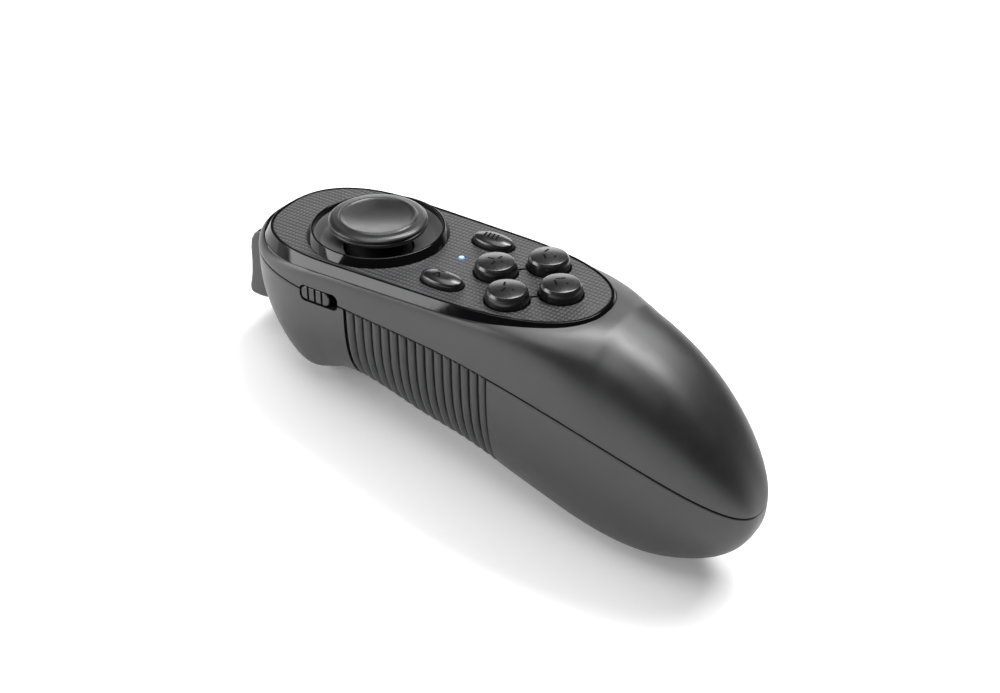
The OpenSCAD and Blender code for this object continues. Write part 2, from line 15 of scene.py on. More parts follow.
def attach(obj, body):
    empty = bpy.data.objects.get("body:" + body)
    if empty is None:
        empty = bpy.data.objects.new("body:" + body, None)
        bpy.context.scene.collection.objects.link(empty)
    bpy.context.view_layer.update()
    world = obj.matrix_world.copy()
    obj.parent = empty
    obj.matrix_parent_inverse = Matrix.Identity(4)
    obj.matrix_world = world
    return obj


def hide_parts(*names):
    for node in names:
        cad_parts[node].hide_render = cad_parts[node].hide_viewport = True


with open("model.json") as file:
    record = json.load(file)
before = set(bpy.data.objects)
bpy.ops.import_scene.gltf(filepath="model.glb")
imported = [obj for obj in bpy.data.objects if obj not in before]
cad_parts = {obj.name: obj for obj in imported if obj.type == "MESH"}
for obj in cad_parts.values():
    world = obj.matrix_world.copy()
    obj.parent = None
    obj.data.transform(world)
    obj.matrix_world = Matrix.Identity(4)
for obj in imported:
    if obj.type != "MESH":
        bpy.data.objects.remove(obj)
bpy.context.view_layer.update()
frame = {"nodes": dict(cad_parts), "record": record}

MM = 0.001

# Body, in deck-frame millimetres: its two ends, wall, seam and grip zone.
NOSE, TAIL = 30.5, -104.7
WALL = 2.2
SEAM_GAP = 0.3
GRIP_FRONT, GRIP_REAR, COVER_FRONT = -4.5, -43.35, -43.65
RIBS, RIB_DEPTH = 16, 1.15

# Deck: chamfer and ledge of the glossy ring, keys, ovals, status light and the gaps around them.
BEZEL_W = 1.6
CHAMFER_FALL = 1.646
LEDGE_TOP, LEDGE_BOTTOM = -1.28, -2.42
PLATE_GAP = 0.45
KEYS = {"front": (0.0, -33.5), "rear": (0.0, -51.0), "left": (-8.9, -42.3), "right": (8.9, -42.3)}
KEY_R, KEY_H = 5.0, 3.3
OVALS = {"left": (-10.6, -25.8), "right": (10.6, -25.8)}
OVAL_A, OVAL_B, OVAL_H = 5.4, 3.0, 2.2
KEY_GAP = 0.28
LED = (1.2, -23.1)
STICK_HOLE_R = 15.9

# Stick pivot height, trigger half width, pin place (y, z) and the gap around the trigger.
PIVOT_Z = -9.0
TRIGGER_HW = 9.0
TRIGGER_PIN = (24.5, -7.5)
WINDOW_GAP = 0.35

# Floor half size in metres, its faint glow, and the world's brightness at the horizon and overhead.
FLOOR_HALF = 1.1
FLOOR_GLOW = 0.17
HORIZON, WORLD = 1.0, 0.05

# Depth of the underside below the seam along the body, as (y, depth).
BELLY = [(-104.7, 28), (-92, 31), (-80, 33.4), (-65, 33.7), (-50, 32.3), (-35, 29.8), (-22, 28.2),
         (-12, 25.9), (-4, 24.7), (2, 25.7), (7, 28.2), (12, 30.2), (16, 28.4), (22, 22.3), (30.5, 13)]


def joint(name):
    return next(j for j in frame["record"]["behaviour"]["joints"] if j["name"] == name)


def deck_matrix():
    """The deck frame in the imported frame: Z against the keys' travel, the origin over the stick's pivot."""
    up = -Vector(joint("key_front_press")["axis"])
    side = Vector((1, 0, 0))
    ahead = up.cross(side)
    origin = Vector(joint("stick_fore_aft")["pos_m"]) - up * PIVOT_Z * MM
    m = Matrix((side, ahead, up)).transposed().to_4x4()
    m.translation = origin
    return m


DECK = deck_matrix()


# ---------------------------------------------------------------- body sections

def clamp01(t):
    return min(max(t, 0.0), 1.0)


def smooth(t):
    u = clamp01(t)
    return u * u * (3 - 2 * u)


def curve(points, x):
    """Cubic through points, with slopes from their neighbours."""
    n = len(points)
    i = 0
    while i < n - 2 and x >= points[i + 1][0]:
        i += 1

    def slope(k):
        a, b = max(k - 1, 0), min(k + 1, n - 1)
        return (points[b][1] - points[a][1]) / (points[b][0] - points[a][0])

    h = points[i + 1][0] - points[i][0]
    t = clamp01((x - points[i][0]) / h)
    return ((2 * t**3 - 3 * t**2 + 1) * points[i][1] + (t**3 - 2 * t**2 + t) * h * slope(i)
            + (3 * t**2 - 2 * t**3) * points[i + 1][1] + (t**3 - t**2) * h * slope(i + 1))


def seam_z(y):
    return -8.9 + 0.125 * y - 0.0027 * max(0, -26 - y) ** 2


def half_w(y, o=0.0):
    return max(0.05, (19.45 + 1.15 * smooth((y + 35) / 40) - o)
               * (1 - clamp01((-30 - y) / (-30 - TAIL - o)) ** 2.5) ** 0.4
               * (1 - clamp01((y - 5) / (NOSE - 5 - o)) ** 2.4) ** (1 / 2.4))


def depth(y, o=0.0):
    return max(0.05, (curve(BELLY, y) - o)
               * (1 - clamp01((-60 - y) / (-60 - TAIL - o)) ** 2.1) ** (1 / 2.1)
               * math.sqrt(clamp01((NOSE - o - y) / 2.5)))


def rise(y, o=0.0):
    top = -1 + 0.3 * smooth((-30 - y) / 25) - 0.8 * smooth((-60 - y) / 12)
    return max(0.05, (top - seam_z(y) - o)
               * (1 - clamp01((-67.4 - y) / (-67.4 - TAIL - o)) ** 1.11) ** (1 / 1.46)
               * math.sqrt(clamp01((NOSE - o - y) / 1.9)))


def n_up(y):
    return 8 - 5.6 * smooth((y + 2) / 24) if y > -2 else 2.8 + 5.2 * smooth((y + 70) / 28)


def half_section(y, w, h, n, side, z0, steps, fillet):
    """Closed section above (side 1) or below (side -1) the seam: a superellipse arc on a flat rim."""
    pts = []
    for i in range(steps + 1):
        a = math.pi * i / steps
        c, s = math.cos(a), math.sin(a)
        r = (abs(c) ** n + abs(s) ** n) ** (-1 / n)
        pts.append((-w * r * c, z0 + side * max(h * r * s, 0)))
    f = min(fillet, 0.3 * w, 0.3 * h)
    left = [(-w + f, z0), (-w + 0.3 * f, z0 + side * 0.3 * f)]
    pts[0] = (-w, z0 + side * f)
    pts[-1] = (w, z0 + side * f)
    right = [(w - 0.3 * f, z0 + side * 0.3 * f), (w - f, z0)]
    return [(x, y, z) for x, z in left + pts + right]


def upper_section(y, o=0.0, fillet=0.25, steps=88):
    z0 = seam_z(y) + SEAM_GAP / 2 - (0.6 if o else 0)
    return half_section(y, half_w(y, o), rise(y, o) + (0.6 if o else 0), n_up(y), 1, z0, steps, fillet)


def lower_section(y, o=0.0, fillet=0.25, steps=88, lift=0.0):
    z0 = seam_z(y) - SEAM_GAP / 2 + lift
    return half_section(y, half_w(y, o), depth(y, o) + lift, 2.8, -1, z0, steps, fillet)


def spread(a, b, n, ease_a=False, ease_b=False):
    """n + 1 values from a to b, crowded towards the eased ends."""
    out = []
    for i in range(n + 1):
        t = i / n
        if ease_a and ease_b:
            t = 0.5 - 0.5 * math.cos(math.pi * t)
        elif ease_a:
            t = 1 - math.cos(math.pi * t / 2)
        elif ease_b:
            t = math.sin(math.pi * t / 2)
        out.append(a + (b - a) * t)
    return out


# ---------------------------------------------------------------- meshes

def new_object(name, verts, faces, material=None, sharp=40):
    """A mesh from deck-frame millimetres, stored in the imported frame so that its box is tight."""
    mesh = bpy.data.meshes.new(name)
    mesh.from_pydata([tuple(c * MM for c in v) for v in verts], [], faces)
    mesh.validate()
    bm = bmesh.new()
    bm.from_mesh(mesh)
    bmesh.ops.remove_doubles(bm, verts=bm.verts, dist=1e-7)
    bmesh.ops.recalc_face_normals(bm, faces=bm.faces)
    bm.to_mesh(mesh)
    bm.free()
    mesh.transform(DECK)
    obj = bpy.data.objects.new(name, mesh)
    bpy.context.scene.collection.objects.link(obj)
    if material:
        mesh.materials.append(material)
    shade(obj, sharp)
    return obj


def shade(obj, sharp=40):
    mesh = obj.data
    mesh.polygons.foreach_set("use_smooth", [True] * len(mesh.polygons))
    mesh.set_sharp_from_angle(angle=math.radians(sharp))
    mesh.update()


def loft(rings, wrap=False):
    """Vertices and faces through closed rings of the same size; wrap joins the last ring to the first."""
    m, n = len(rings[0]), len(rings)
    verts = [p for r in rings for p in r]
    faces = []
    for i in range(n if wrap else n - 1):
        a, b = i * m, (i + 1) % n * m
        for j in range(m):
            k = (j + 1) % m
            faces.append((a + j, a + k, b + k, b + j))
    if not wrap:
        faces.append(tuple(range(m - 1, -1, -1)))
        faces.append(tuple(range((n - 1) * m, n * m)))
    return verts, faces


def apply_boolean(obj, cutter, op="DIFFERENCE", sharp=40):
    mod = obj.modifiers.new("cut", "BOOLEAN")
    mod.operation = op
    mod.object = cutter
    mod.solver = "MANIFOLD"
    bpy.context.view_layer.update()
    dg = bpy.context.evaluated_depsgraph_get()
    mesh = bpy.data.meshes.new_from_object(obj.evaluated_get(dg))
    obj.modifiers.clear()
    old = obj.data
    obj.data = mesh
    mesh.name = old.name
    bpy.data.meshes.remove(old)
    bpy.data.objects.remove(cutter)
    shade(obj, sharp)
    if len(mesh.polygons) == 0:
        raise RuntimeError("the cut left nothing of " + obj.name)


def round_corners(points, radii, steps=6, closed=False):
    """A polyline whose corners are turned into arcs; radii is one number or one for each point."""
    n = len(points)
    if not hasattr(radii, "__len__"):
        radii = [radii] * n
    out = []
    for i, p in enumerate(points):
        p = np.array(p, float)
        if (not closed and i in (0, n - 1)) or radii[i] <= 0:
            out.append(tuple(p))
            continue
        a, b = np.array(points[i - 1], float), np.array(points[(i + 1) % n], float)
        u, v = a - p, b - p
        lu, lv = np.linalg.norm(u), np.linalg.norm(v)
        u, v = u / lu, v / lv
        angle = math.acos(max(-1, min(1, float(u @ v))))
        if angle > math.pi - 0.02:
            out.append(tuple(p))
            continue
        cut = min(radii[i] / math.tan(angle / 2), 0.48 * lu, 0.48 * lv)
        r = cut * math.tan(angle / 2)
        centre = p + (u + v) / np.linalg.norm(u + v) * (r / math.sin(angle / 2))
        s, e = p + u * cut - centre, p + v * cut - centre
        sweep = math.atan2(s[0] * e[1] - s[1] * e[0], float(s @ e))
        for k in range(steps + 1):
            t = sweep * k / steps
            c, q = math.cos(t), math.sin(t)
            out.append((centre[0] + c * s[0] - q * s[1], centre[1] + q * s[0] + c * s[1]))
    return out


def circle_loop(r, n=96):
    return [(r * math.cos(2 * math.pi * i / n), r * math.sin(2 * math.pi * i / n)) for i in range(n)]


def lathe(name, profile, at, material, segments=144, sharp=50):
    """Turns (radius, height) points about the deck's normal through at; radius 0 ends become poles."""
    rings = [[(at[0] + x, at[1] + y, z) for x, y in circle_loop(r, segments)] for r, z in profile]
    verts, faces = loft(rings, wrap=profile[0][0] > 0)
    if profile[0][0] == 0 or profile[-1][0] == 0:
        faces = [f for f in faces if len(f) <= 4]
    return new_object(name, verts, faces, material, sharp)


def prism(name, outline, z0, z1, material=None, sharp=30):
    rings = [[(x, y, z) for x, y in outline] for z in (z0, z1)]
    return new_object(name, *loft(rings), material, sharp)


def offset_loop(points, d):
    """A closed loop moved outward by d (inward if negative), for a clockwise or anticlockwise loop."""
    p = np.array(points, float)
    t = np.roll(p, -1, 0) - np.roll(p, 1, 0)
    nrm = np.stack([t[:, 1], -t[:, 0]], 1)
    nrm /= np.linalg.norm(nrm, axis=1)[:, None]
    area = 0.5 * np.sum(p[:, 0] * np.roll(p[:, 1], -1) - np.roll(p[:, 0], -1) * p[:, 1])
    return p + nrm * (d if area > 0 else -d)


# ---------------------------------------------------------------- deck outline

def plate_w0(y):
    return 18.35 - 0.028 * max(0, 2.5 - y)


def plate_outline():
    """The faceplate's edge: superellipse ends, joined by sides that taper towards the tail."""
    ends, sides, power = 90, 18, 0.816
    right = []
    for i in range(ends + 1):
        a = math.pi / 2 * i / ends
        right.append((plate_w0(2) * math.sin(a) ** power, 2 + 25 * math.cos(a) ** power))
    for i in range(1, sides):
        y = 2 - 30 * i / sides
        right.append((plate_w0(y), y))
    for i in range(ends + 1):
        a = math.pi / 2 * i / ends
        y = -28 - 34.4 * math.sin(a) ** power
        right.append((plate_w0(y) * max(math.cos(a), 0) ** power, y))
    right[0], right[-1] = (0.0, 27.0), (0.0, -62.4)
    loop = right + [(-x, y) for x, y in right[-2:0:-1]]
    return even_loop(loop, 360)


def even_loop(points, n):
    """The same closed loop with n evenly spaced points."""
    p = np.array(points + [points[0]], float)
    s = np.concatenate([[0], np.cumsum(np.linalg.norm(np.diff(p, axis=0), axis=1))])
    t = np.linspace(0, s[-1], n, endpoint=False)
    return np.stack([np.interp(t, s, p[:, 0]), np.interp(t, s, p[:, 1])], 1)


OUTLINE = plate_outline()


def chamfer_w(y):
    """How far the bezel's chamfer reaches out: narrower at the tail, where the shell rises to the plate."""
    return BEZEL_W + 0.35 * smooth((y - 2) / 14) - 0.85 * smooth((-30 - y) / 32)


def grow_chamfer(f, o):
    """The outline moved out by f times the chamfer's width plus o."""
    unit = offset_loop(OUTLINE, 1) - OUTLINE
    return np.array([p + n * (f * chamfer_w(p[1]) + o) for p, n in zip(OUTLINE, unit)])


# ---------------------------------------------------------------- materials

def material(name):
    mat = bpy.data.materials.new(name)
    mat.use_nodes = True
    nodes, links = mat.node_tree.nodes, mat.node_tree.links
    return mat, nodes, links, nodes["Principled BSDF"]


def mm_coords(nodes, links, deck=True):
    """Object coordinates in millimetres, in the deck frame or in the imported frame."""
    coord = nodes.new("ShaderNodeTexCoord")
    mapping = nodes.new("ShaderNodeMapping")
    mapping.vector_type = "TEXTURE"
    mapping.inputs["Scale"].default_value = (MM, MM, MM)
    if deck:
        mapping.inputs["Location"].default_value = DECK.translation
        mapping.inputs["Rotation"].default_value = DECK.to_euler()
    links.new(coord.outputs["Object"], mapping.inputs["Vector"])
    return mapping.outputs["Vector"]


def noise(nodes, links, vector, scale, detail=3, rough=0.5):
    n = nodes.new("ShaderNodeTexNoise")
    n.inputs["Scale"].default_value = scale
    n.inputs["Detail"].default_value = detail
    n.inputs["Roughness"].default_value = rough
    links.new(vector, n.inputs["Vector"])
    return n.outputs["Fac"]


def ramp(nodes, links, fac, lo, hi, a=0.0, b=1.0):
    """fac from lo..hi to a..b, clamped."""
    m = nodes.new("ShaderNodeMapRange")
    m.inputs["From Min"].default_value = lo
    m.inputs["From Max"].default_value = hi
    m.inputs["To Min"].default_value = a
    m.inputs["To Max"].default_value = b
    links.new(fac, m.inputs["Value"])
    return m.outputs["Result"]


def mix_colour(nodes, links, fac, a, b):
    m = nodes.new("ShaderNodeMix")
    m.data_type = "RGBA"
    m.inputs[6].default_value = (*a, 1)
    m.inputs[7].default_value = (*b, 1)
    links.new(fac, m.inputs[0])
    return m.outputs[2]


def math_node(nodes, links, op, a, b=None):
    m = nodes.new("ShaderNodeMath")
    m.operation = op
    for i, v in enumerate((a, b)):
        if v is None:
            continue
        if isinstance(v, (int, float)):
            m.inputs[i].default_value = v
        else:
            links.new(v, m.inputs[i])
    return m.outputs[0]


def bump(nodes, links, bsdf, height, strength, distance):
    b = nodes.new("ShaderNodeBump")
    b.inputs["Strength"].default_value = strength
    b.inputs["Distance"].default_value = distance
    links.new(height, b.inputs["Height"])
    links.new(b.outputs["Normal"], bsdf.inputs["Normal"])


def plastic(name, dark, light, rough, rough_spread=0.05, grain=1.6, grain_h=0.008, ior=1.5):
    """Moulded plastic: cloudy colour variation, worn edges, and a fine spark-eroded grain."""
    mat, nodes, links, bsdf = material(name)
    vec = mm_coords(nodes, links)
    cloud = noise(nodes, links, vec, 0.06, 4)
    fac = ramp(nodes, links, cloud, 0.35, 0.65)
    colour = mix_colour(nodes, links, fac, dark, light)
    geo = nodes.new("ShaderNodeNewGeometry")
    wear = ramp(nodes, links, geo.outputs["Pointiness"], 0.53, 0.62, 0.0, 0.35)
    m = nodes.new("ShaderNodeMix")
    m.data_type = "RGBA"
    m.inputs[7].default_value = (*[min(1, 2.4 * c) for c in light], 1)
    links.new(wear, m.inputs[0])
    links.new(colour, m.inputs[6])
    links.new(m.outputs[2], bsdf.inputs["Base Color"])
    smear = noise(nodes, links, vec, 0.22, 5, 0.6)
    links.new(ramp(nodes, links, smear, 0.3, 0.7, rough - rough_spread, rough + rough_spread),
              bsdf.inputs["Roughness"])
    bsdf.inputs["IOR"].default_value = ior
    bump(nodes, links, bsdf, noise(nodes, links, vec, grain, 2, 0.5), 0.5, grain_h * MM)
    return mat


def plate_material():
    """The faceplate: small raised squares between fine grooves, the grooves coloured near black as painted
    shade.
    """
    mat, nodes, links, bsdf = material("plate_grid")
    vec = mm_coords(nodes, links)
    sep = nodes.new("ShaderNodeSeparateXYZ")
    links.new(vec, sep.inputs[0])
    tiles = []
    for axis, pitch in (("X", 1.28), ("Y", 0.98)):
        t = math_node(nodes, links, "DIVIDE", sep.outputs[axis], pitch)
        t = math_node(nodes, links, "FRACT", math_node(nodes, links, "ADD", t, 200.5))
        t = math_node(nodes, links, "ABSOLUTE", math_node(nodes, links, "SUBTRACT", t, 0.5))
        tiles.append(ramp(nodes, links, t, 0.26, 0.40, 1, 0))
    tile = math_node(nodes, links, "MULTIPLY", *tiles)
    # Painted shade: the grooves near black, the raised squares lighter.
    colour = mix_colour(nodes, links, tile, (0.004, 0.004, 0.0045), (0.050, 0.050, 0.051))
    links.new(colour, bsdf.inputs["Base Color"])
    smear = noise(nodes, links, vec, 0.2, 4)
    links.new(ramp(nodes, links, smear, 0.3, 0.7, 0.36, 0.48), bsdf.inputs["Roughness"])
    fine = math_node(nodes, links, "MULTIPLY", noise(nodes, links, vec, 3, 2), 0.15)
    bump(nodes, links, bsdf, math_node(nodes, links, "ADD", tile, fine), 0.9, 0.09 * MM)
    return mat


def gloss_material():
    """Piano-gloss plastic with faint wiping marks."""
    mat, nodes, links, bsdf = material("gloss_black")
    vec = mm_coords(nodes, links)
    bsdf.inputs["IOR"].default_value = 1.38
    cloud = noise(nodes, links, vec, 0.15, 4)
    links.new(mix_colour(nodes, links, cloud, (0.0015, 0.0015, 0.0018), (0.003, 0.003, 0.0035)),
              bsdf.inputs["Base Color"])
    links.new(ramp(nodes, links, noise(nodes, links, vec, 0.5, 6, 0.7), 0.3, 0.75, 0.05, 0.13),
              bsdf.inputs["Roughness"])
    bump(nodes, links, bsdf, noise(nodes, links, vec, 0.3, 2), 0.2, 0.003 * MM)
    return mat


def metal_material(name, colour, rough):
    """Metal brushed along the deck's X."""
    mat, nodes, links, bsdf = material(name)
    vec = mm_coords(nodes, links)
    mapping = nodes.new("ShaderNodeMapping")
    mapping.inputs["Scale"].default_value = (0.2, 4, 4)
    links.new(vec, mapping.inputs["Vector"])
    fac = noise(nodes, links, mapping.outputs["Vector"], 1.5, 5, 0.7)
    dark = tuple(0.75 * c for c in colour)
    links.new(mix_colour(nodes, links, fac, dark, colour), bsdf.inputs["Base Color"])
    bsdf.inputs["Metallic"].default_value = 1.0
    links.new(ramp(nodes, links, fac, 0.3, 0.7, rough * 0.8, rough * 1.3), bsdf.inputs["Roughness"])
    bump(nodes, links, bsdf, fac, 0.3, 0.01 * MM)
    return mat


def board_material():
    """Solder mask over copper tracks."""
    mat, nodes, links, bsdf = material("board_green")
    vec = mm_coords(nodes, links)
    brick = nodes.new("ShaderNodeTexBrick")
    brick.inputs["Scale"].default_value = 0.45
    brick.inputs["Mortar Size"].default_value = 0.035
    links.new(vec, brick.inputs["Vector"])
    brick.inputs["Color1"].default_value = (0.015, 0.11, 0.05, 1)
    brick.inputs["Color2"].default_value = (0.02, 0.14, 0.06, 1)
    brick.inputs["Mortar"].default_value = (0.05, 0.22, 0.09, 1)
    links.new(brick.outputs["Color"], bsdf.inputs["Base Color"])
    bsdf.inputs["Roughness"].default_value = 0.3
    bump(nodes, links, bsdf, brick.outputs["Fac"], 0.4, 0.03 * MM)
    return mat


def light_material():
    """The status light's lens: cold white at its middle, blue towards the rim."""
    mat, nodes, links, bsdf = material("light_clear")
    dist = nodes.new("ShaderNodeVectorMath")
    dist.operation = "DISTANCE"
    dist.inputs[1].default_value = (LED[0], LED[1], 0.15)
    links.new(mm_coords(nodes, links), dist.inputs[0])
    fac = ramp(nodes, links, dist.outputs["Value"], 0.15, 0.6)
    links.new(mix_colour(nodes, links, fac, (0.9, 0.97, 1), (0.05, 0.2, 0.55)), bsdf.inputs["Base Color"])
    links.new(mix_colour(nodes, links, fac, (0.75, 0.9, 1), (0.02, 0.12, 0.4)), bsdf.inputs["Emission Color"])
    bsdf.inputs["Emission Strength"].default_value = 0.9
    bsdf.inputs["Roughness"].default_value = 0.2
    return mat


def cell_material():
    """A cell's shrink film: blue, with one pale band across it that follows the cell's slight tilt."""
    band_tilt, band_at = 0.09, 30
    mat, nodes, links, bsdf = material("cell_wrap")
    vec = mm_coords(nodes, links, deck=False)
    sep = nodes.new("ShaderNodeSeparateXYZ")
    links.new(vec, sep.inputs[0])
    tilt = math_node(nodes, links, "MULTIPLY", sep.outputs["Z"], band_tilt)
    along = math_node(nodes, links, "ADD", sep.outputs["Y"], tilt)
    from_band = math_node(nodes, links, "ABSOLUTE", math_node(nodes, links, "ADD", along, band_at))
    band = ramp(nodes, links, from_band, 3.8, 4.0, 1, 0)
    links.new(mix_colour(nodes, links, band, (0.03, 0.12, 0.32), (0.6, 0.62, 0.6)), bsdf.inputs["Base Color"])
    smear = noise(nodes, links, vec, 0.4, 4)
    links.new(ramp(nodes, links, smear, 0.3, 0.7, 0.2, 0.35), bsdf.inputs["Roughness"])
    bsdf.inputs["Coat Weight"].default_value = 0.3
    return mat


MATS = {
    "shell_soft": plastic("shell_soft", (0.006, 0.006, 0.0062), (0.008, 0.008, 0.0082),
        0.42, 0.03, 2.2, 0.006, 1.68),
    "grip_rubber": plastic("grip_rubber", (0.009, 0.009, 0.0095), (0.013, 0.013, 0.0135),
        0.43, 0.05, 1.8, 0.012, 1.65),
    "plate_grid": plate_material(),
    "gloss_black": gloss_material(),
    "bowl_grey": plastic("bowl_grey", (0.09, 0.09, 0.091), (0.105, 0.105, 0.106), 0.38, 0.04, 1.5, 0.006),
    "key_satin": plastic("key_satin", (0.006, 0.006, 0.0065), (0.008, 0.008, 0.0085),
        0.25, 0.03, 2.0, 0.002, 1.6),
    "key_mark": plastic("key_mark", (0.002, 0.002, 0.002), (0.003, 0.003, 0.003),
        0.6, 0.03, 2.0, 0.002, 1.08),
    "stick_rubber": plastic("stick_rubber", (0.008, 0.008, 0.0085), (0.011, 0.011, 0.0115),
        0.32, 0.04, 1.8, 0.006, 1.55),
    # The stick's rubber again, darker and duller: painted shade under the joystick cap.
    "dome_rubber_painted_shade": plastic("dome_rubber_painted_shade", (0.004, 0.004, 0.004), (0.005, 0.005, 0.005),
        0.6, 0.04, 1.8, 0.006, 1.2),
    "steel": metal_material("steel", (0.62, 0.63, 0.65), 0.22),
    "tin": metal_material("tin", (0.70, 0.70, 0.68), 0.30),
    "board_green": board_material(),
    "chip_black": plastic("chip_black", (0.01, 0.01, 0.01), (0.016, 0.016, 0.016), 0.55, 0.05, 3, 0.01),
    "flex_amber": plastic("flex_amber", (0.30, 0.12, 0.02), (0.42, 0.19, 0.03), 0.25, 0.04, 0.4, 0.01),
    "silicone": plastic("silicone", (0.36, 0.36, 0.38), (0.44, 0.44, 0.46), 0.6, 0.05, 1.2, 0.01),
    "light_clear": light_material(),
    "led_white": plastic("led_white", (0.75, 0.75, 0.68), (0.85, 0.85, 0.78), 0.3),
    "nylon_white": plastic("nylon_white", (0.66, 0.66, 0.62), (0.76, 0.76, 0.72), 0.45),
    "pot_blue": plastic("pot_blue", (0.03, 0.08, 0.25), (0.05, 0.11, 0.32), 0.4),
    "inner_black": plastic("inner_black", (0.012, 0.012, 0.012), (0.02, 0.02, 0.02), 0.5),
    "cell_wrap": cell_material(),
}


def finish_piece(obj, body, slot, *nodes):
    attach(obj, body)
    if nodes:
        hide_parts(*nodes)


# ---------------------------------------------------------------- body shells

def box_cutter(name, lo, hi):
    x0, y0, z0 = lo
    x1, y1, z1 = hi
    return new_object(name, *loft([[(x0, y, z0), (x1, y, z0), (x1, y, z1), (x0, y, z1)] for y in (y0, y1)]))


def window_cutter():
    """The opening that the trigger swings in, with rounded corners."""
    w = TRIGGER_HW + WINDOW_GAP
    ring = round_corners([(-w, -24.6), (w, -24.6), (w, -3.95), (-w, -3.95)], 1.2, closed=True)
    return new_object("window", *loft([[(x, y, z) for x, z in ring] for y in (19, 40)]))


def slot_cutter():
    """The opening in the side that the mode slide's knob moves in."""
    ring = round_corners([(-2.9, -10.8), (8.2, -10.8), (8.2, -6.5), (-2.9, -6.5)], 1.5, closed=True)
    return new_object("slot", *loft([[(x, y, z) for y, z in ring] for x in (-30, -14)]))


def make_upper_shell():
    rows = spread(TAIL, -60, 90, ease_a=True)[:-1] + spread(-60, 10, 70)[:-1]
    rows += spread(10, NOSE, 60, ease_b=True)
    shell = new_object("upper_shell_skin", *loft([upper_section(y) for y in rows]), MATS["shell_soft"])
    rows_in = spread(TAIL + WALL, -60, 40, ease_a=True)[:-1] + spread(-60, 10, 30)[:-1]
    rows_in += spread(10, NOSE - WALL, 24, ease_b=True)
    inner = new_object("inner", *loft([upper_section(y, WALL, 0.05, 48) for y in rows_in]))
    apply_boolean(shell, inner)
    apply_boolean(shell, prism("ledge", grow_chamfer(1, 0.05), -2.45, 20))
    apply_boolean(shell, prism("well", offset_loop(OUTLINE, -1.2), -40, 20))
    apply_boolean(shell, slot_cutter())
    apply_boolean(shell, window_cutter())
    finish_piece(shell, "shell", "shell_soft", "upper_shell")


def make_lower_shell():
    rows = [GRIP_REAR] + spread(-40, -6, 30) + [GRIP_FRONT]
    nose = [GRIP_FRONT + 0.02] + spread(-3.5, 12, 40) + spread(12, NOSE, 70, ease_b=True)[1:]
    rings = [lower_section(y, 1.95, 0.05) for y in rows] + [lower_section(y) for y in nose]
    shell = new_object("lower_shell_skin", *loft(rings), MATS["shell_soft"])
    rows_in = [GRIP_REAR - 1] + spread(-40, 8, 30) + spread(8, NOSE - 3.2, 24, ease_b=True)[1:]
    inner = new_object("inner", *loft([lower_section(y, 3.5, 0.05, 48, 0.6) for y in rows_in]))
    apply_boolean(shell, inner)
    apply_boolean(shell, slot_cutter())
    apply_boolean(shell, window_cutter())
    finish_piece(shell, "shell", "shell_soft", "lower_shell")


def make_battery_cover():
    rows = spread(TAIL, -60, 90, ease_a=True)[:-1] + spread(-60, COVER_FRONT, 24)
    cover = new_object("battery_cover_skin", *loft([lower_section(y) for y in rows]), MATS["shell_soft"])
    rows_in = spread(TAIL + WALL, -60, 40, ease_a=True)[:-1] + spread(-60, COVER_FRONT + 1, 16)
    inner = new_object("inner", *loft([lower_section(y, WALL, 0.05, 48, 0.6) for y in rows_in]))
    apply_boolean(cover, inner)
    root = round_corners([(-4.6, -46.8), (4.6, -46.8), (4.6, -39.9), (-4.6, -39.9)], 0.6, closed=True)
    tongue = round_corners([(-4.6, -41), (4.6, -41), (4.6, -39.9), (-4.6, -39.9)], 0.4, closed=True)
    for name, ring, y0, y1 in (("tongue_root", root, -47.5, -43.7), ("tongue", tongue, -44.5, -41.6)):
        part = new_object(name, *loft([[(x, y, z) for x, z in ring] for y in (y0, y1)]))
        apply_boolean(cover, part, "UNION")
    finish_piece(cover, "cover", "shell_soft", "battery_cover")


def make_grip():
    """The rubber saddle: rounded ribs with narrow grooves between them."""
    pitch = (GRIP_FRONT - GRIP_REAR - 0.1) / RIBS
    steps = [0.0, 0.03, 0.08, 0.15, 0.23, 0.31, 0.4, 0.5, 0.6, 0.69, 0.77, 0.85, 0.92, 0.97]
    rows = [(GRIP_REAR + 0.05 + pitch * (r + t), RIB_DEPTH * (1 - math.sin(math.pi * t) ** 0.7))
            for r in range(RIBS) for t in steps]
    rows.append((GRIP_FRONT - 0.05, RIB_DEPTH))
    grip = new_object("grip_saddle_skin", *loft([lower_section(y, o, 0.2, 96) for y, o in rows]),
                      MATS["grip_rubber"], 60)
    rows_in = spread(GRIP_REAR - 1, GRIP_FRONT + 1, 40)
    inner = new_object("inner", *loft([lower_section(y, 1.55, 0.05, 64, 0.6) for y in rows_in]))
    apply_boolean(grip, inner, sharp=60)
    finish_piece(grip, "shell", "grip_rubber", "grip_saddle")


# ---------------------------------------------------------------- deck

def make_bezel():
    """The glossy ring: a lip around the plate, a chamfer down to the shell and a ledge under the plate."""
    lip = [(-0.41, LEDGE_TOP), (-0.41, 0.07), (0.22, 0.07), (1.2, -1.54)]
    lip = round_corners(lip, [0, 0.08, 0.16, 0], 6)[:-1]
    rings = []
    for x, z in lip:
        rings.append([(px, py, z) for px, py in grow_chamfer(0, x)])
    for back, down in ((-0.06, 0.1), (-0.015, 0.03), (0, -0.06)):
        loop = grow_chamfer(1, back)
        fall = [CHAMFER_FALL * (chamfer_w(q[1]) - 0.3) for q in OUTLINE]
        rings.append([(p[0], p[1], down - f) for p, f in zip(loop, fall)])
    rings.append([(px, py, LEDGE_BOTTOM) for px, py in grow_chamfer(1, 0)])
    for z in (LEDGE_BOTTOM, LEDGE_TOP):
        rings.append([(px, py, z) for px, py in grow_chamfer(0, -1.2)])
    bezel = new_object("gloss_bezel_ring", *loft(rings, wrap=True), MATS["gloss_black"], 45)
    finish_piece(bezel, "shell", "gloss_black", "gloss_bezel")


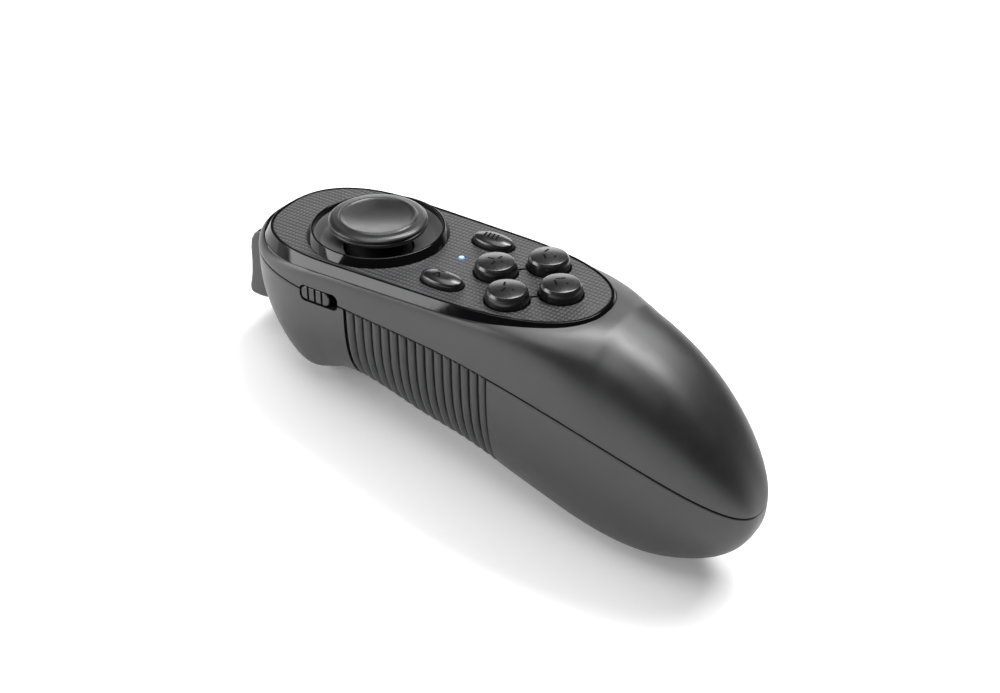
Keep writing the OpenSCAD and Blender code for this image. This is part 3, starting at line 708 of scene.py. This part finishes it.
def oval_loop(a, b, n=96):
    pts = []
    for i in range(n):
        t = 2 * math.pi * i / n
        c, s = math.cos(t), math.sin(t)
        pts.append((b * math.copysign(abs(c) ** 0.9, c), a * math.copysign(abs(s) ** 0.9, s)))
    return pts


def hole_cutter(loop, at, lip=0.18):
    """Cuts through the plate with a small countersunk lip."""
    rings = []
    for z, d in ((-5, 0), (-lip, 0), (0.02, lip), (1, lip)):
        rings.append([(at[0] + x, at[1] + y, z) for x, y in offset_loop(loop, d)])
    return new_object("hole", *loft(rings))


def make_faceplate():
    edge = ((0, -1.2), (0, -0.1), (0.1, 0))
    rings = [[(x, y, z) for x, y in offset_loop(OUTLINE, -PLATE_GAP - d)] for d, z in edge]
    plate = new_object("faceplate_panel", *loft(rings), MATS["plate_grid"], 30)
    apply_boolean(plate, hole_cutter(circle_loop(STICK_HOLE_R, 160), (0, 0), 0.02))
    for at in KEYS.values():
        apply_boolean(plate, hole_cutter(circle_loop(KEY_R + KEY_GAP), at))
    for at in OVALS.values():
        apply_boolean(plate, hole_cutter(offset_loop(oval_loop(OVAL_A, OVAL_B), KEY_GAP), at))
    apply_boolean(plate, hole_cutter(circle_loop(0.95, 48), LED, 0.12))
    for a, b in link_ends():
        n = np.array([b[1] - a[1], a[0] - b[0]]) / np.linalg.norm(b - a) * 0.36
        apply_boolean(plate, prism("line", [a - n, b - n, b + n, a + n], -0.35, 1))
    for y in (-18.9, -42.3):
        post = [[(px, y + py, z) for px, py in circle_loop(1.8, 32)] for z in (-7.1, -1.0)]
        apply_boolean(plate, new_object("post", *loft(post)), "UNION")
    finish_piece(plate, "shell", "plate_grid", "faceplate")


def ribbon(name, path, width, height, material, lift=0.03, sink=0.12):
    """A thin inlaid stroke along path (x, y), lying on the surface height(x, y)."""
    p = np.array(path, float)
    t = np.gradient(p, axis=0)
    t /= np.linalg.norm(t, axis=1)[:, None]
    nrm = np.stack([-t[:, 1], t[:, 0]], 1) * width / 2
    rings = []
    for q, d in zip(p, nrm):
        a, b = q - d, q + d
        rings.append([(a[0], a[1], height(*a) - sink), (b[0], b[1], height(*b) - sink),
                      (b[0], b[1], height(*b) + lift), (q[0], q[1], height(*q) + lift),
                      (a[0], a[1], height(*a) + lift)])
    return new_object(name, *loft(rings), material, 40)


def segment(a, b, n=10):
    return [(a[0] + (b[0] - a[0]) * i / n, a[1] + (b[1] - a[1]) * i / n) for i in range(n + 1)]


def link_ends():
    """Where the two engraved lines between paired keys begin and end."""
    out = []
    for i, k in (("front", "right"), ("left", "rear")):
        a, b = np.array(KEYS[i]), np.array(KEYS[k])
        u = (b - a) / np.linalg.norm(b - a)
        out.append((a + u * 5.2, b - u * 5.2))
    return out


def make_link_lines():
    """A near-black strip laid in the bottom of the engraved lines."""
    for i, (a, b) in enumerate(link_ends()):
        u = (b - a) / np.linalg.norm(b - a) * 0.4
        line = ribbon(f"link_line_{i}", segment(a + u, b - u), 0.66, lambda x, y: -0.32, MATS["key_mark"],
                      0.02, 0.08)
        finish_piece(line, "shell", "gloss_black")


# ---------------------------------------------------------------- keys

def key_dome(r):
    return KEY_H - 0.0205 * r * r - 0.00006 * r**4


def key_profile():
    dome = [(r, key_dome(r)) for r in np.linspace(0, 4.15, 24)]
    edge = round_corners([dome[-1], (4.3, 2.88), (4.74, 2.32), (4.95, 1.6), (KEY_R, 1.1), (KEY_R, -1.5)],
                         [0, 0.1, 0.5, 0.6, 0.5, 0], 7)
    return dome + edge[1:] + [(KEY_R + 0.6, -1.5), (KEY_R + 0.6, -2.3), (2, -2.3), (2, -3.7), (0, -3.7)]


def key_marks(which):
    """Strokes on each key, in the key's own plane: plain bars, no letters."""
    if which == "front":
        return [segment((-2.3, -0.2), (-0.7, -0.2)), segment((0.7, -0.2), (2.3, -0.2)),
                segment((0, 0.6), (0, 2.2))]
    if which == "right":
        return [segment((-2.0, -0.3), (-0.5, 1.2)), segment((0.4, 1.5), (2.2, 1.5))]
    if which == "left":
        return [segment((-2.1, 0.2), (-0.4, 0.2)), segment((0.3, 1.0), (1.9, 1.8))]
    return [segment((-1.9, 0.0), (-0.3, 1.6)), segment((0.3, 1.6), (1.9, 0.0))]


def make_keys():
    for which, at in KEYS.items():
        node = "key_button_" + which
        key = lathe("key_" + which, key_profile(), at, MATS["key_satin"], 128, 35)
        finish_piece(key, "key_" + which, "key_satin", node)

        def height(x, y, at=at):
            return key_dome(math.hypot(x - at[0], y - at[1]))

        for i, path in enumerate(key_marks(which)):
            path = [(at[0] + x, at[1] + y) for x, y in path]
            mark = ribbon(f"key_{which}_mark_{i}", path, 0.46, height, MATS["key_mark"], 0.015, 0.1)
            finish_piece(mark, "key_" + which, "key_satin")
        bar = segment((at[0] - 0.25, at[1] - 1.6), (at[0] + 0.25, at[1] - 1.6), 4)
        dot = ribbon(f"key_{which}_dot", bar, 0.5, height, MATS["key_mark"], 0.012, 0.1)
        finish_piece(dot, "key_" + which, "key_satin")


def oval_height(u):
    """Height of an oval key where u runs from 0 at its middle to 1 at its edge."""
    return OVAL_H - 0.75 * u**3.2


def make_ovals():
    for which, at in OVALS.items():
        rings = []
        top = oval_loop(OVAL_A - 0.25, OVAL_B - 0.25)
        for u in np.linspace(0.02, 0.97, 20):
            rings.append([(at[0] + x * u, at[1] + y * u, oval_height(u)) for x, y in top])
        side = ((0.22, 1.33), (0.12, 1.15), (0.03, 0.9), (0, 0.6), (0, -1.5), (-0.6, -1.5), (-0.6, -2.3))
        for d, z in side:
            rings.append([(at[0] + x, at[1] + y, z) for x, y in oval_loop(OVAL_A - d, OVAL_B - d)])
        for z in (-2.3, -3.7):
            rings.append([(at[0] + x * 0.3, at[1] + y * 0.3, z) for x, y in oval_loop(OVAL_A, OVAL_B)])
        key = new_object("oval_" + which, *loft(rings), MATS["key_satin"], 35)
        finish_piece(key, "oval_" + which, "key_satin", "oval_button_" + which)

        def height(x, y, at=at):
            return oval_height(min(1, math.hypot((x - at[0]) / OVAL_B, (y - at[1]) / OVAL_A)))

        if which == "right":
            paths = [segment((-1.2, d - 0.3), (1.2, d + 0.3)) for d in (2.2, 1.1, 0.0, -1.1)]
        else:
            paths = [segment((-1.2, 1.9), (0.3, 0.9)), segment((0.3, 0.9), (-1.2, -0.1)),
                     segment((1.2, 2.0), (1.2, -0.2))]
        for i, path in enumerate(paths):
            path = [(at[0] + x, at[1] + y) for x, y in path]
            mark = ribbon(f"oval_{which}_mark_{i}", path, 0.42, height, MATS["key_mark"], 0.015, 0.1)
            finish_piece(mark, "oval_" + which, "key_satin")


def make_light():
    prof = [(0, 0.2), (0.3, 0.19), (0.6, 0.13), (0.85, 0.0), (0.9, -0.1), (0.9, -6.55), (0, -6.55)]
    lens = lathe("status_lens", prof, LED, MATS["light_clear"], 48)
    finish_piece(lens, "shell", "light_clear", "light_pipe")


# ---------------------------------------------------------------- thumb stick

def make_stick():
    ring = [(15.4, -1.9), (15.86, -1.9), (15.86, 0.02), (17.1, 0.02), (17.1, 0.12), (15.95, 2.05),
            (15.5, 2.05), (15.4, 1.85)]
    ring = round_corners(ring, [0, 0, 0, 0, 0.15, 0.2, 0.12, 0.1], 6, closed=True)
    collar = lathe("stick_collar_ring", ring, (0, 0), MATS["gloss_black"], 200, 45)
    finish_piece(collar, "shell", "gloss_black", "stick_collar")
    bowl = [(8.4, -3.6), (10.5, -2.9), (12.5, -2.1), (13.9, -1.3), (14.9, 0.1), (15.35, 0.7), (15.35, -2),
            (15.8, -2), (15.8, -3.2), (13.4, -3.2), (9, -4.7), (8.75, -4.6)]
    bowl = round_corners(bowl, [0.2, 3, 3, 2, 1, 0, 0, 0, 0, 0, 0.1, 0.1], 6, closed=True)
    bowl = lathe("stick_bowl_ring", bowl, (0, 0), MATS["bowl_grey"], 144, 45)
    finish_piece(bowl, "shell", "bowl_grey", "stick_bowl")
    dish = [(r, 4.0 + 0.0107 * r * r) for r in np.linspace(0, 8.3, 20)]
    top = [dish[-1], (8.75, 4.93), (9.2, 4.95), (9.5, 4.7), (10.7, 4.62), (11.4, 4.4), (11.85, 4.0),
           (11.85, 3.65), (11.4, 3.4), (11.4, 3.25), (11.75, 3.0), (11.82, 2.6), (11.4, 2.05),
           (10.6, 2.0), (9, 2.7), (4.2, 2.7), (4.2, 1.2)]
    radii = [0, 0.4, 0.2, 0.25, 1.0, 0.9, 0.5, 0.25, 0.1, 0.1, 0.3, 0.6, 0.4, 0.3, 0.3, 0.2, 0]
    top = round_corners(top, radii, 6)
    cap = lathe("joystick_cap_skin", dish + top[1:] + [(0, 1.2)], (0, 0), MATS["stick_rubber"], 200, 50)
    finish_piece(cap, "stick", "stick_rubber", "joystick_cap")
    angles = np.radians(np.linspace(57, 2, 24))
    outer = [(9.6 * math.sin(a), PIVOT_Z + 9.6 * math.cos(a)) for a in angles]
    inner = [(8.8 * math.sin(a), PIVOT_Z + 8.8 * math.cos(a)) for a in angles[::-1]]
    # The dome takes the darker copy of the stick's rubber, as painted shade under the cap.
    dome = lathe("stick_dome_skin", outer + inner, (0, 0), MATS["dome_rubber_painted_shade"], 128, 50)
    finish_piece(dome, "stick", "stick_rubber", "stick_dome")


# ---------------------------------------------------------------- trigger and mode slide

def pillow(name, loop, x0, x1, r, material, steps=6):
    """A side profile (y, z) carried across X, with its two edges rounded to r."""
    rings = []
    for s, x in ((1, x0), (-1, x1)):
        part = []
        for i in range(steps + 1):
            a = math.pi / 2 * i / steps
            inset = offset_loop(loop, -r * (1 - math.cos(a)))
            part.append([(x + s * r * (1 - math.sin(a)), y, z) for y, z in inset])
        rings += part[::-1] if s > 0 else part
    return new_object(name, *loft(rings), material, 50)


def trigger_profile():
    pts = [(29.2, -4.4), (30.4, -4.6), (31.9, -5.9), (32.9, -7.6), (33.25, -10), (33.3, -14), (33.6, -17.6),
           (34.4, -21.4), (34.3, -22.7), (33.4, -23.4), (31.1, -23.6), (27.6, -23.3), (26.6, -20),
           (26.4, -12), (27.2, -5.4)]
    radii = [0.3, 0.8, 1.5, 1.5, 3, 6, 4, 0.8, 0.8, 0.8, 1, 0.8, 1, 2, 1]
    return even_loop(round_corners(pts, radii, 5, closed=True), 120)


def make_trigger():
    """The trigger: a hollow paddle, its hub on the pin, two arms between them and the spring stub."""
    satin = MATS["key_satin"]
    paddle = pillow("trigger_paddle", trigger_profile(), -TRIGGER_HW, TRIGGER_HW, 0.9, satin)
    pocket = [(20, -25), (28.8, -25), (28.7, -22.4), (31.4, -21.6), (31.1, -14), (30.8, -9), (29, -6.6),
              (28.9, -3.5), (20, -3.5)]
    inside = TRIGGER_HW - 1.7
    cutter = new_object("pocket", *loft([[(x, y, z) for y, z in pocket] for x in (-inside, inside)]))
    apply_boolean(paddle, cutter, sharp=50)
    finish_piece(paddle, "trigger_body", "key_satin", "trigger")
    stub = even_loop([(31.5, -15.8), (31.6, -18.2), (24.3, -17.5), (24.3, -16.5)], 60)
    finish_piece(pillow("trigger_stub", stub, -1.95, 1.95, 0.15, satin), "trigger_body", "key_satin")
    ends = ((1.06, -5.8), (2.4, -5.8), (2.6, -5.6), (2.6, 5.6), (2.4, 5.8), (1.06, 5.8))
    rings = [[(x, TRIGGER_PIN[0] + y, TRIGGER_PIN[1] + z) for y, z in circle_loop(r, 48)] for r, x in ends]
    hub = new_object("trigger_hub", *loft(rings, wrap=True), satin, 40)
    finish_piece(hub, "trigger_body", "key_satin")
    for side in (-1, 1):
        arm = [(31.2, -8.5), (31.3, -13.8), (25.8, -10.2), (25.8, -5.2), (29.4, -5.1)]
        arm = even_loop(round_corners(arm, 0.2, closed=True), 60)
        x0, x1 = sorted((side * 4.2, side * 5.8))
        arm = pillow("trigger_arm_" + "lr"[side > 0], arm, x0, x1, 0.2, satin)
        finish_piece(arm, "trigger_body", "key_satin")


def make_knob():
    loop = round_corners([(-0.4, -10.4), (7.8, -10.4), (7.8, -6.9), (-0.4, -6.9)], 1.3, closed=True)
    knob = pillow("mode_knob_skin", even_loop(loop, 96), -20.5, -16.3, 0.35, MATS["key_satin"])
    for y in (1.7, 3.7, 5.7):
        apply_boolean(knob, box_cutter("groove", (-21, y - 0.32, -12), (-19.9, y + 0.32, -6)), sharp=40)
    plate = box_cutter("flange", (-16.6, -2.6, -11.8), (-15.95, 9.6, -5.5))
    apply_boolean(knob, plate, "UNION")
    finish_piece(knob, "mode_slide", "key_satin", "mode_knob")


# ---------------------------------------------------------------- inner parts, floor, lights, camera

def dress_inner_parts():
    """Materials for the CAD nodes that no piece above replaces."""
    replaced = {"upper_shell", "lower_shell", "battery_cover", "grip_saddle", "faceplate", "gloss_bezel",
                "stick_collar", "stick_bowl", "joystick_cap", "stick_dome", "light_pipe", "mode_knob",
                "trigger"}
    for sub in frame["record"]["subparts"]:
        node = sub["node"]
        if node in replaced or "button" in node:
            continue
        for s in frame["nodes"][node].material_slots:
            s.material = MATS[sub["material_slot"]]


def make_floor():
    mesh = bpy.data.meshes.new("floor")
    h = FLOOR_HALF
    mesh.from_pydata([(-h, -h, 0), (h, -h, 0), (h, h, 0), (-h, h, 0)], [], [(0, 1, 2, 3)])
    floor = bpy.data.objects.new("floor", mesh)
    bpy.context.scene.collection.objects.link(floor)
    mat, _, _, bsdf = material("floor_paper")
    bsdf.inputs["Base Color"].default_value = (0.88, 0.88, 0.88, 1)
    bsdf.inputs["Roughness"].default_value = 0.9
    bsdf.inputs["Specular IOR Level"].default_value = 0.1
    bsdf.inputs["Emission Color"].default_value = (1, 1, 1, 1)
    bsdf.inputs["Emission Strength"].default_value = FLOOR_GLOW
    mesh.materials.append(mat)


def soft_box(name, azimuth, elevation, size, power, distance=0.8):
    """A rectangular soft box seen from the object in a direction: azimuth from +Y towards +X, in degrees."""
    data = bpy.data.lights.new(name, "AREA")
    data.shape = "RECTANGLE"
    data.size, data.size_y = size
    data.energy = power
    obj = bpy.data.objects.new(name, data)
    bpy.context.scene.collection.objects.link(obj)
    az, el = math.radians(azimuth), math.radians(elevation)
    way = Vector((math.sin(az) * math.cos(el), math.cos(az) * math.cos(el), math.sin(el)))
    obj.location = Vector((0, 0, 0.03)) + way * distance
    obj.rotation_mode = "QUATERNION"
    obj.rotation_quaternion = (-way).to_track_quat("-Z", "Y")


def make_lights():
    world = bpy.data.worlds.new("studio")
    world.use_nodes = True
    nodes, links = world.node_tree.nodes, world.node_tree.links
    nodes["Background"].inputs["Color"].default_value = (1, 1, 1, 1)
    way = nodes.new("ShaderNodeTexCoord")
    sep = nodes.new("ShaderNodeSeparateXYZ")
    links.new(way.outputs["Generated"], sep.inputs[0])
    glow = ramp(nodes, links, sep.outputs["Z"], 0.02, 0.14, HORIZON, WORLD)
    links.new(glow, nodes["Background"].inputs["Strength"])
    bpy.context.scene.world = world
    soft_box("main_box", 335, 74, (0.9, 0.60), 5.6)
    soft_box("right_overhead_box", 84, 60, (0.60, 0.30), 8.0)
    soft_box("front_left_box", 324, 16, (0.56, 0.28), 3.8)
    soft_box("far_low_box", 60, 9, (0.50, 0.20), 1.0)


def make_camera():
    """The photo's viewpoint, in the deck frame: angles in degrees, distances in millimetres."""
    az, el, roll = math.radians(-57.02), math.radians(32.72), math.radians(0.329)
    distance, shift_right, shift_up = 416.0, 28.98, -27.12
    back = Vector((math.sin(az) * math.cos(el), -math.cos(az) * math.cos(el), math.sin(el)))
    right = Vector((math.cos(az), math.sin(az), 0))
    up = back.cross(right)
    r = right * math.cos(roll) + up * math.sin(roll)
    u = up * math.cos(roll) - right * math.sin(roll)
    at = (r * shift_right + u * shift_up + back * distance) * MM
    local = Matrix((r, u, back)).transposed().to_4x4()
    local.translation = at
    data = bpy.data.cameras.new("camera")
    data.lens, data.sensor_width = 62.78, 36
    data.clip_start, data.clip_end = 0.01, 20
    cam = bpy.data.objects.new("camera", data)
    bpy.context.scene.collection.objects.link(cam)
    cam.matrix_world = DECK @ local
    bpy.context.scene.camera = cam


make_upper_shell()
make_lower_shell()
make_battery_cover()
make_grip()
make_faceplate()
make_bezel()
make_link_lines()
make_keys()
make_ovals()
make_light()
make_stick()
make_trigger()
make_knob()
dress_inner_parts()
make_floor()
make_lights()
make_camera()
bpy.context.scene.view_settings.view_transform = "Standard"
